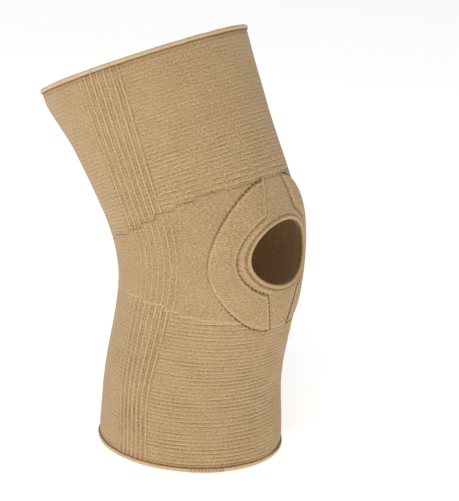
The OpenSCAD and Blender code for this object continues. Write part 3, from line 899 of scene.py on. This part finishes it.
def knit_finish(name, colours, course, wale, loop_depth):
    """Knitted yarn: loops in wales and courses, a painted shadow line and a painted highlight line once a
    course, as strong as the painted course shading mark and in dashes where it is broken up, fine speckle,
    slow mottling, and painted shade and highlight from the piece's marks."""
    finish = Finish(name)
    knit_map = finish.node("ShaderNodeUVMap", uv_map="knit").outputs[0]
    place = finish.node("ShaderNodeTexCoord").outputs["Object"]
    hollow = finish.node("ShaderNodeAttribute", attribute_name="hollow").outputs["Fac"]
    painted_course_shading = finish.node("ShaderNodeAttribute", attribute_name="painted_course_shading").outputs["Fac"]
    broken_up = finish.node("ShaderNodeAttribute", attribute_name="broken_up").outputs["Fac"]
    split = finish.node("ShaderNodeSeparateXYZ", {"Vector": knit_map})
    reach, height = split.outputs["X"], split.outputs["Y"]

    leg = finish.math("ABSOLUTE", finish.math("SINE", finish.math("MULTIPLY", reach, math.pi / wale)))
    slant = finish.math("MULTIPLY_ADD", leg, 2.2, finish.math("MULTIPLY", height, 4 * math.pi / course))
    loops = finish.math("MULTIPLY_ADD", finish.math("SINE", slant), 0.5, 0.5)
    loops = finish.math("MULTIPLY", loops, finish.math("MULTIPLY_ADD", leg, 0.6, 0.4))

    # Painted course shading: once a course, a painted shadow line with a painted highlight line just above
    # it, wavering, in dashes where broken up.
    wander = finish.noise(knit_map, 1.0, 1.0, stretch=(70, 160, 1))
    turns = finish.math("MULTIPLY_ADD", wander, 0.3, finish.math("MULTIPLY_ADD", height, 1 / course, 0.35))
    phase = finish.math("FRACT", turns)
    line = finish.pulse(phase, 0.5, 0.14)
    ridge = finish.pulse(phase, 0.73, 0.16)
    dashes = finish.noise(knit_map, 1.0, 1.0, stretch=(230, 1 / course, 1))
    dashes = finish.math("MULTIPLY_ADD", finish.math("SUBTRACT", dashes, 0.5), 6.0, 0.5, clamp=True)
    gaps = finish.math("MULTIPLY", broken_up, finish.math("SUBTRACT", 1.0, dashes))
    whole = finish.math("SUBTRACT", 1.0, gaps)
    lines = finish.math("SUBTRACT", finish.math("MULTIPLY", ridge, 0.42), finish.math("MULTIPLY", line, 0.5))
    lines = finish.math("MULTIPLY", lines, finish.math("MULTIPLY", painted_course_shading, whole))

    speckle = finish.noise(knit_map, 1.0, 1.0, stretch=(700, 1150, 1))
    mottle = finish.noise(place, 60.0, 3.0)
    fuzz = finish.noise(place, 1700.0, 1.0)
    yarn = finish.math("MULTIPLY_ADD", fuzz, 0.25, finish.math("MULTIPLY", speckle, 0.75))
    value = finish.math("MULTIPLY_ADD", yarn, 1.15, -0.08)
    value = finish.math("MULTIPLY_ADD", finish.math("SUBTRACT", mottle, 0.5), 0.16, value)
    value = finish.math("MULTIPLY_ADD", finish.math("SUBTRACT", loops, 0.35), 0.1, value)
    value = finish.math("ADD", value, lines)
    # Painted shade where the mark is above zero, and painted highlight where it is below.
    value = finish.math("MULTIPLY_ADD", hollow, -0.42, value, clamp=True)
    dark, middle, light = colours
    colour = finish.ramp(value, [(0.0, dark), (0.5, middle), (1.0, light)])
    warm = finish.math("SUBTRACT", finish.noise(place, 38.0, 1.0), 0.45, clamp=True)
    colour = finish.mix(finish.math("MULTIPLY", warm, 0.6), colour, srgb(205, 160, 126))

    rough = finish.math("MULTIPLY_ADD", fuzz, 0.12, 0.82)
    normal = finish.bump(loops, loop_depth, 0.6)
    normal = finish.bump(finish.math("ADD", yarn, lines), 0.3 * MM, 0.4, normal)
    normal = finish.bump(fuzz, 0.12 * MM, 0.3, normal)
    return finish.set(
        Base_Color=colour, Roughness=rough, Normal=normal,
        Sheen_Weight=0.15, Sheen_Roughness=0.5, Specular_IOR_Level=0.2,
    )


def thread_finish(name, dark, light):
    """Twisted sewing thread: fine bands along the strand, dull, with a little sheen."""
    finish = Finish(name)
    place = finish.node("ShaderNodeTexCoord").outputs["Object"]
    strands = finish.noise(place, 2600.0, 2.0)
    shade = finish.noise(place, 160.0, 2.0)
    value = finish.math("ADD", finish.math("MULTIPLY", strands, 0.6), finish.math("MULTIPLY", shade, 0.4))
    colour = finish.ramp(value, [(0.3, dark), (0.7, light)])
    normal = finish.bump(strands, 0.1 * MM, 0.5)
    return finish.set(
        Base_Color=colour, Roughness=0.75, Normal=normal, Sheen_Weight=0.15, Specular_IOR_Level=0.3,
    )


def foam_finish(name):
    """Open foam: pale, dull, with small cells."""
    finish = Finish(name)
    place = finish.node("ShaderNodeTexCoord").outputs["Object"]
    cells = finish.node("ShaderNodeTexVoronoi", {"Vector": place, "Scale": 900.0}).outputs["Distance"]
    tint = finish.noise(place, 90.0, 2.0)
    value = finish.math("ADD", finish.math("MULTIPLY", cells, 0.5), finish.math("MULTIPLY", tint, 0.5))
    colour = finish.ramp(value, [(0.2, srgb(214, 204, 184)), (0.8, srgb(238, 232, 218))])
    return finish.set(Base_Color=colour, Roughness=0.95, Normal=finish.bump(cells, 0.2 * MM, 0.6))


def rubber_finish(name):
    """Covered elastic: grey-brown rubber strands with fine lengthwise lines."""
    finish = Finish(name)
    place = finish.node("ShaderNodeTexCoord").outputs["Object"]
    lines = finish.noise(place, 1.0, 2.0, stretch=(120, 120, 2200))
    colour = finish.ramp(lines, [(0.3, srgb(120, 108, 92)), (0.7, srgb(168, 154, 132))])
    return finish.set(Base_Color=colour, Roughness=0.7, Normal=finish.bump(lines, 0.2 * MM, 0.5))


KNIT_COLOURS = (srgb(108, 78, 43), srgb(188, 157, 115), srgb(231, 205, 160))
KNIT = knit_finish("beige_knit", KNIT_COLOURS, COURSE, WALE, 0.22 * MM)
COVER_KNIT = knit_finish("pocket_knit", KNIT_COLOURS, FINE_COURSE, WALE, 0.18 * MM)
ROLL_COLOURS = (srgb(112, 82, 48), srgb(214, 184, 142), srgb(246, 222, 182))
WELT_KNIT = knit_finish("welt_knit", ROLL_COLOURS, 1.6 * MM, WALE, 0.12 * MM)
BINDING_COLOURS = (srgb(104, 74, 42), srgb(200, 168, 126), srgb(238, 210, 168))
BINDING_KNIT = knit_finish("binding_knit", BINDING_COLOURS, 1.6 * MM, WALE, 0.12 * MM)
# The pocket seams are real thread, but their dark brown is painted shadow of the sunk stitch holes.
SHADED_SEAM_THREAD = thread_finish("shaded_seam_thread", srgb(80, 52, 28), srgb(128, 92, 56))
HEM_THREAD = thread_finish("hem_thread", srgb(158, 126, 88), srgb(200, 167, 124))
FOAM = foam_finish("pad_foam")
RUBBER = rubber_finish("core_rubber")


# ---- Making the sleeve ----

CALF_ROWS = np.arange(-CALF_LENGTH + 1.9 * MM, ROW / 2, ROW)
CALF_ROWS = CALF_ROWS - CALF_ROWS[-1]
THIGH_ROWS = np.arange(0, THIGH_LENGTH - 1.9 * MM, ROW)


def sleeve_panels(part, rows, nodes):
    """The four panels of the calf or thigh half, bent across its joint."""
    _, walked = half_rings(rows)
    girth = 2 * walked[:, -1]
    low, high = np.full(len(rows), BAND_LOW), np.full(len(rows), RIB_HIGH)
    made = [
        knit_panel(part + "_front_knit", -low, low, 136, rows, KNIT),
        knit_panel(part + "_right_ribs", low, high, 80, rows, KNIT),
        knit_panel(part + "_back_knit", high, girth - high, 96, rows, KNIT),
        knit_panel(part + "_left_ribs", -high, -low, 80, rows, KNIT),
    ]
    for piece in made:
        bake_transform(piece)
        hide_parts(*nodes)
    return made


sleeve_panels("calf", CALF_ROWS, ["calf_sleeve", "knee_gusset"])
sleeve_panels(
    "thigh", THIGH_ROWS, ["thigh_sleeve", "knee_gusset"])


def settle(piece, body, node):
    """A finished piece rides on its body and stands for its node, which is hidden."""
    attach(piece, body)
    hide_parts(node)
    return piece


WELT_MIDDLE = (WELT_OUT - WELT_IN) / 2
WELT_HALF = (WELT_OUT + WELT_IN) / 2
for part, radius, put, seed in [("calf", CALF_R, to_calf, 11), ("thigh", THIGH_R, to_thigh, 12)]:
    settle(
        rolled_ring(part + "_roll", radius + WELT_MIDDLE, WELT_HALF - 0.1 * MM, 1.6 * MM, 1.7 * MM,
                    1.25 * MM, 0.05 * MM, WELT_KNIT, put, seed),
        part + "_cuff", part + "_welt")
    settle(
        rolled_ring(part + "_elastic_core", radius + WELT_MIDDLE, 0.7 * MM, 0.9 * MM, 1.7 * MM,
                    3 * MM, 0.05 * MM, RUBBER, put, seed),
        part + "_cuff", part + "_welt_elastic")

RING = np.linspace(0, 2 * np.pi, 400)
for part, level in [("calf", HEM_STITCH - CALF_LENGTH), ("thigh", THIGH_LENGTH - HEM_STITCH)]:
    settle(
        seam_stitches(part + "_hem_stitches", RING, np.full_like(RING, level), 0.1 * MM,
                      HEM_PITCH, HEM_GAP, HEM_RADIUS, HEM_THREAD, looped=True),
        part + "_cuff", part + "_welt_seam")


def whip_stitches(name, material):
    """Ten stitches laid over the lower roll, a little aslant, where its ends are joined."""
    count, steps = 10, 9
    middle = math.radians(-90 - 41) + (np.arange(count) - (count - 1) / 2)[:, None] * math.radians(2.2)
    turn = np.linspace(-1.15, 1.15, steps)[None, :]
    out = CALF_R + WELT_MIDDLE + (WELT_HALF + 0.15 * MM) * np.cos(turn)
    up = 1.7 * MM + 1.75 * MM * np.sin(turn)
    angle = middle + 0.012 * turn
    paths = floor_ring(angle, out + 0 * angle, up + 0 * angle)
    outs = floor_ring(angle, np.cos(turn) + 0 * angle, np.sin(turn) + 0 * angle)
    return threads(name, paths, outs, 0.42 * MM, material)


settle(whip_stitches("roll_join_stitches", HEM_THREAD), "calf_cuff", "calf_welt_join")

EDGE = np.linspace(0, 2 * np.pi, 240)
settle(binding_ring("opening_rim", BINDING_KNIT), "knee_section", "opening_binding")
edge_side, edge_height = opening_edge(EDGE, RIM_BORDER)
settle(
    seam_stitches("rim_stitches", around_of_side(edge_side, edge_height), edge_height, -0.05 * MM,
                  RIM_PITCH, RIM_GAP, RIM_RADIUS, HEM_THREAD, looped=True),
    "knee_section", "opening_binding_seam")

SWEEP = np.linspace(-POCKET_TIP, POCKET_TIP, 160)
for hand, label in [(1, "right"), (-1, "left")]:
    pad = settle(pocket_pad(label + "_foam_pad", hand, FOAM), "knee_section", label + "_pad")
    cover = settle(
        pocket_cover(label + "_pocket", hand, COVER_KNIT), "knee_section", label + "_pocket_cover")
    level = pocket_height(SWEEP)
    sunk = between(0.42 * MM, -0.12 * MM, soft_step((level + 8 * MM) / (10 * MM)))
    for edge, side, inward, rise in [
        ("outer", pocket_outer(level), -1, 0.42 * MM),
        ("inner", pocket_inner(level), 1, sunk),
    ]:
        turn = hand * around_of_side(side + inward * 1.3 * MM, level)
        settle(
            seam_stitches(f"{label}_{edge}_stitches", turn, level, rise,
                          SEAM_PITCH, SEAM_GAP, SEAM_RADIUS, SHADED_SEAM_THREAD),
            "knee_section", f"{label}_{edge}_seam")


# ---- Floor, light and camera ----


def floor_finish(name):
    """Pale matt floor with a faint unevenness."""
    finish = Finish(name)
    place = finish.node("ShaderNodeTexCoord").outputs["Object"]
    cloud = finish.noise(place, 3.0, 2.0)
    colour = finish.ramp(cloud, [(0.0, srgb(246, 246, 246)), (1.0, srgb(252, 252, 252))])
    return finish.set(
        Base_Color=colour, Roughness=0.9, Specular_IOR_Level=0.1,
        Emission_Color=srgb(255, 255, 255), Emission_Strength=0.58,
    )


def make_floor():
    """Wide plane that the sleeve stands on."""
    mesh = bpy.data.meshes.new("floor")
    half = 6.0
    corners = [(-half, -half, 0), (half, -half, 0), (half, half, 0), (-half, half, 0)]
    mesh.from_pydata(corners, [], [(0, 1, 2, 3)])
    mesh.materials.append(floor_finish("pale_floor"))
    floor = bpy.data.objects.new("floor", mesh)
    bpy.context.scene.collection.objects.link(floor)


def area_light(name, place, aim, size, power, colour):
    """Square lamp at a place, turned to face a point."""
    light = bpy.data.lights.new(name, "AREA")
    light.size = size
    light.energy = power
    light.color = colour
    lamp = bpy.data.objects.new(name, light)
    lamp.location = place
    lamp.rotation_mode = "QUATERNION"
    lamp.rotation_quaternion = (Vector(aim) - Vector(place)).to_track_quat("-Z", "Y")
    bpy.context.scene.collection.objects.link(lamp)


CAMERA_AZIMUTH = math.radians(-52.8)
CAMERA_ELEVATION = math.radians(18.2)
CAMERA_ROLL = math.radians(3.49)
CAMERA_DISTANCE = 1.7
CAMERA_LENS = 180.7
KNEE = (0, 0, CALF_LENGTH)


def make_camera():
    """Long lens at the front right of the knee, a little above it and slightly rolled."""
    azimuth, elevation, roll = CAMERA_AZIMUTH, CAMERA_ELEVATION, CAMERA_ROLL
    back = Vector((
        math.sin(azimuth) * math.cos(elevation),
        -math.cos(azimuth) * math.cos(elevation),
        math.sin(elevation),
    ))
    right = Vector((math.cos(azimuth), math.sin(azimuth), 0))
    up = back.cross(right)
    rolled_right = right * math.cos(roll) + up * math.sin(roll)
    rolled_up = up * math.cos(roll) - right * math.sin(roll)
    data = bpy.data.cameras.new("camera")
    data.lens = CAMERA_LENS
    data.sensor_width = 36
    data.shift_x = 0.055
    data.shift_y = -0.019
    data.clip_end = 50
    camera = bpy.data.objects.new("camera", data)
    turn = Matrix((rolled_right, rolled_up, back)).transposed().to_4x4()
    camera.matrix_world = Matrix.Translation(Vector(KNEE) + back * CAMERA_DISTANCE) @ turn
    bpy.context.scene.collection.objects.link(camera)
    bpy.context.scene.camera = camera


def make_world():
    """White surroundings, bright in a low band round the horizon and dim above it."""
    world = bpy.data.worlds.new("studio")
    world.use_nodes = True
    nodes, links = world.node_tree.nodes, world.node_tree.links
    background = nodes["Background"]
    background.inputs["Color"].default_value = (1, 1, 1, 1)
    split = nodes.new("ShaderNodeSeparateXYZ")
    links.new(nodes.new("ShaderNodeTexCoord").outputs["Generated"], split.inputs["Vector"])
    fade = nodes.new("ShaderNodeMapRange")
    fade.interpolation_type = "SMOOTHSTEP"
    for label, value in [("From Min", 0.06), ("From Max", 0.24), ("To Min", 0.95), ("To Max", 0.21)]:
        fade.inputs[label].default_value = value
    links.new(split.outputs["Z"], fade.inputs["Value"])
    links.new(fade.outputs["Result"], background.inputs["Strength"])
    bpy.context.scene.world = world


make_floor()
make_world()
make_camera()
LAMP_COLOUR = (1.0, 0.99, 0.97)
for name, place, size, power in [
    ("key", (-1.45, -0.5, 1.9), 1.3, 22),
    ("side", (-1.1, 1.4, 1.1), 0.8, 4.5),
    ("fill", (0.9, -1.1, 2.1), 1.0, 6),
]:
    area_light(name, place, KNEE, size, power, LAMP_COLOUR)
bpy.context.scene.view_settings.view_transform = "Standard"
